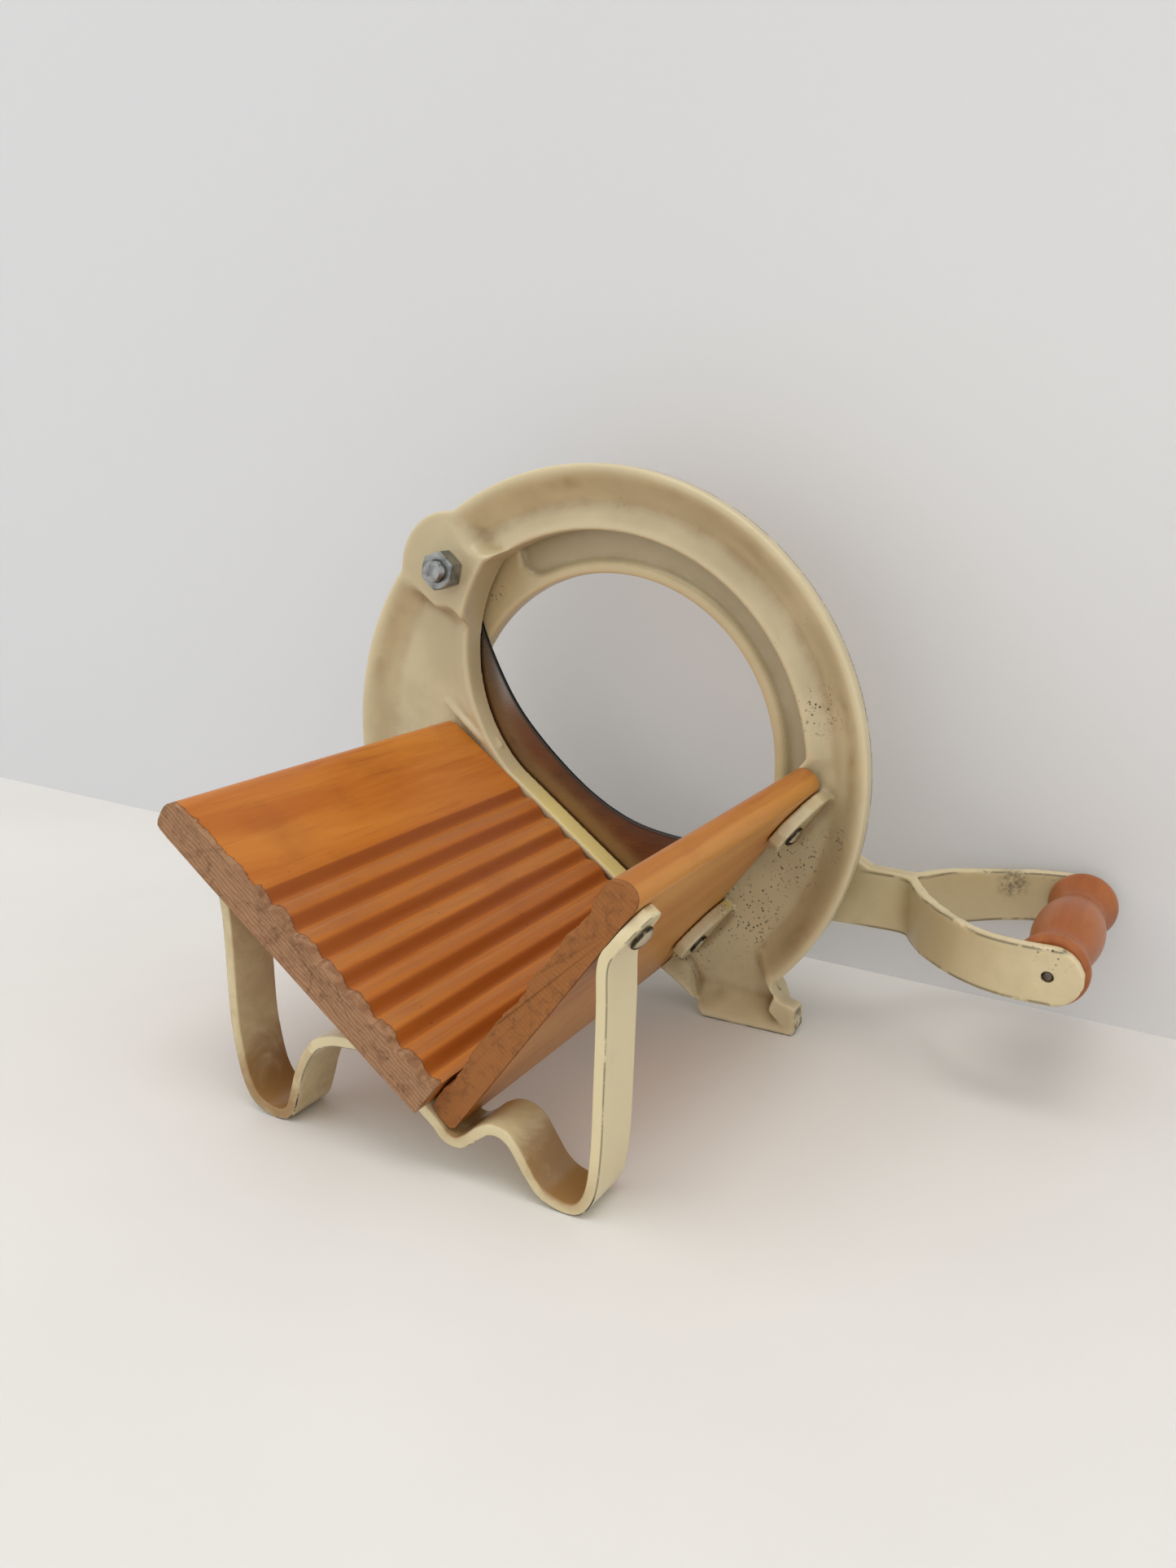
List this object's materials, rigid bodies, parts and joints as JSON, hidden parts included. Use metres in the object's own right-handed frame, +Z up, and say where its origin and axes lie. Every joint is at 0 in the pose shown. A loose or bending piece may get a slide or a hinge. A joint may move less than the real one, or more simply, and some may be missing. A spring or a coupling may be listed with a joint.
{
  "type": "bread slicer",
  "caption": "Hand bread slicer: cast ring frame, V trough of two wooden boards, bent leg strap, and a hinged knife arm with a crescent blade and a wooden roller handle.",
  "frame": {"origin": "on the table plane, below the middle of the whole part's bounding box", "axes": "+X towards the roller handle, +Y from the loading side towards the knife side, +Z up"},
  "size_m": [0.2841, 0.1984, 0.1963],
  "materials": {
    "frame_enamel": "aged cream enamel on cast iron, semi-gloss",
    "arm_enamel": "aged cream enamel on cast iron, semi-gloss",
    "strap_enamel": "cream enamel on bent strip, semi-gloss, chipped edges",
    "amber_wood": "amber varnish, worn",
    "tan_wood": "tan stained wood, worn varnish",
    "blade_steel": "polished, faintly scratched",
    "bolt_zinc": "zinc plated, dull",
    "nut_zinc": "zinc plated, dull",
    "washer_zinc": "zinc plated, dull",
    "roller_wood": "red-brown turned wood, worn",
    "pin_steel": "dark steel",
    "screw_nickel": "nickel plated, tarnished",
    "rivet_steel": "plain steel, dull"
  },
  "bodies": {
    "base": {"front_frame": "frame_enamel", "left_board": "amber_wood", "right_board": "tan_wood", "leg_strap": "strap_enamel", "pivot_bolt": "bolt_zinc", "pivot_nut": "nut_zinc", "pivot_spacer": "washer_zinc", "pivot_washer": "washer_zinc", "lug_screw_upper_right": "screw_nickel", "lug_screw_lower_right": "screw_nickel", "lug_screw_upper_left": "screw_nickel", "lug_screw_lower_left": "screw_nickel", "leg_screw_right": "screw_nickel", "leg_screw_left": "screw_nickel", "leg_screw_centre": "screw_nickel"},
    "arm": {"knife_arm": "arm_enamel", "blade": "blade_steel", "roller_pin": "pin_steel", "blade_rivet_1": "rivet_steel", "blade_rivet_2": "rivet_steel", "blade_rivet_3": "rivet_steel", "blade_rivet_4": "rivet_steel"},
    "roller": {"handle_roller": "roller_wood"}
  },
  "joints": [
    {"name": "knife_swing", "type": "hinge", "parent": "base", "child": "arm", "pos_m": [-0.097, 0.05835, 0.1576], "axis": [0, -1, 0], "range_deg": [0, 110]},
    {"name": "roller_spin", "type": "hinge", "parent": "arm", "child": "roller", "pos_m": [0.1306, 0.05835, 0.0471], "axis": [0, 1, 0], "continuous": true}
  ]
}
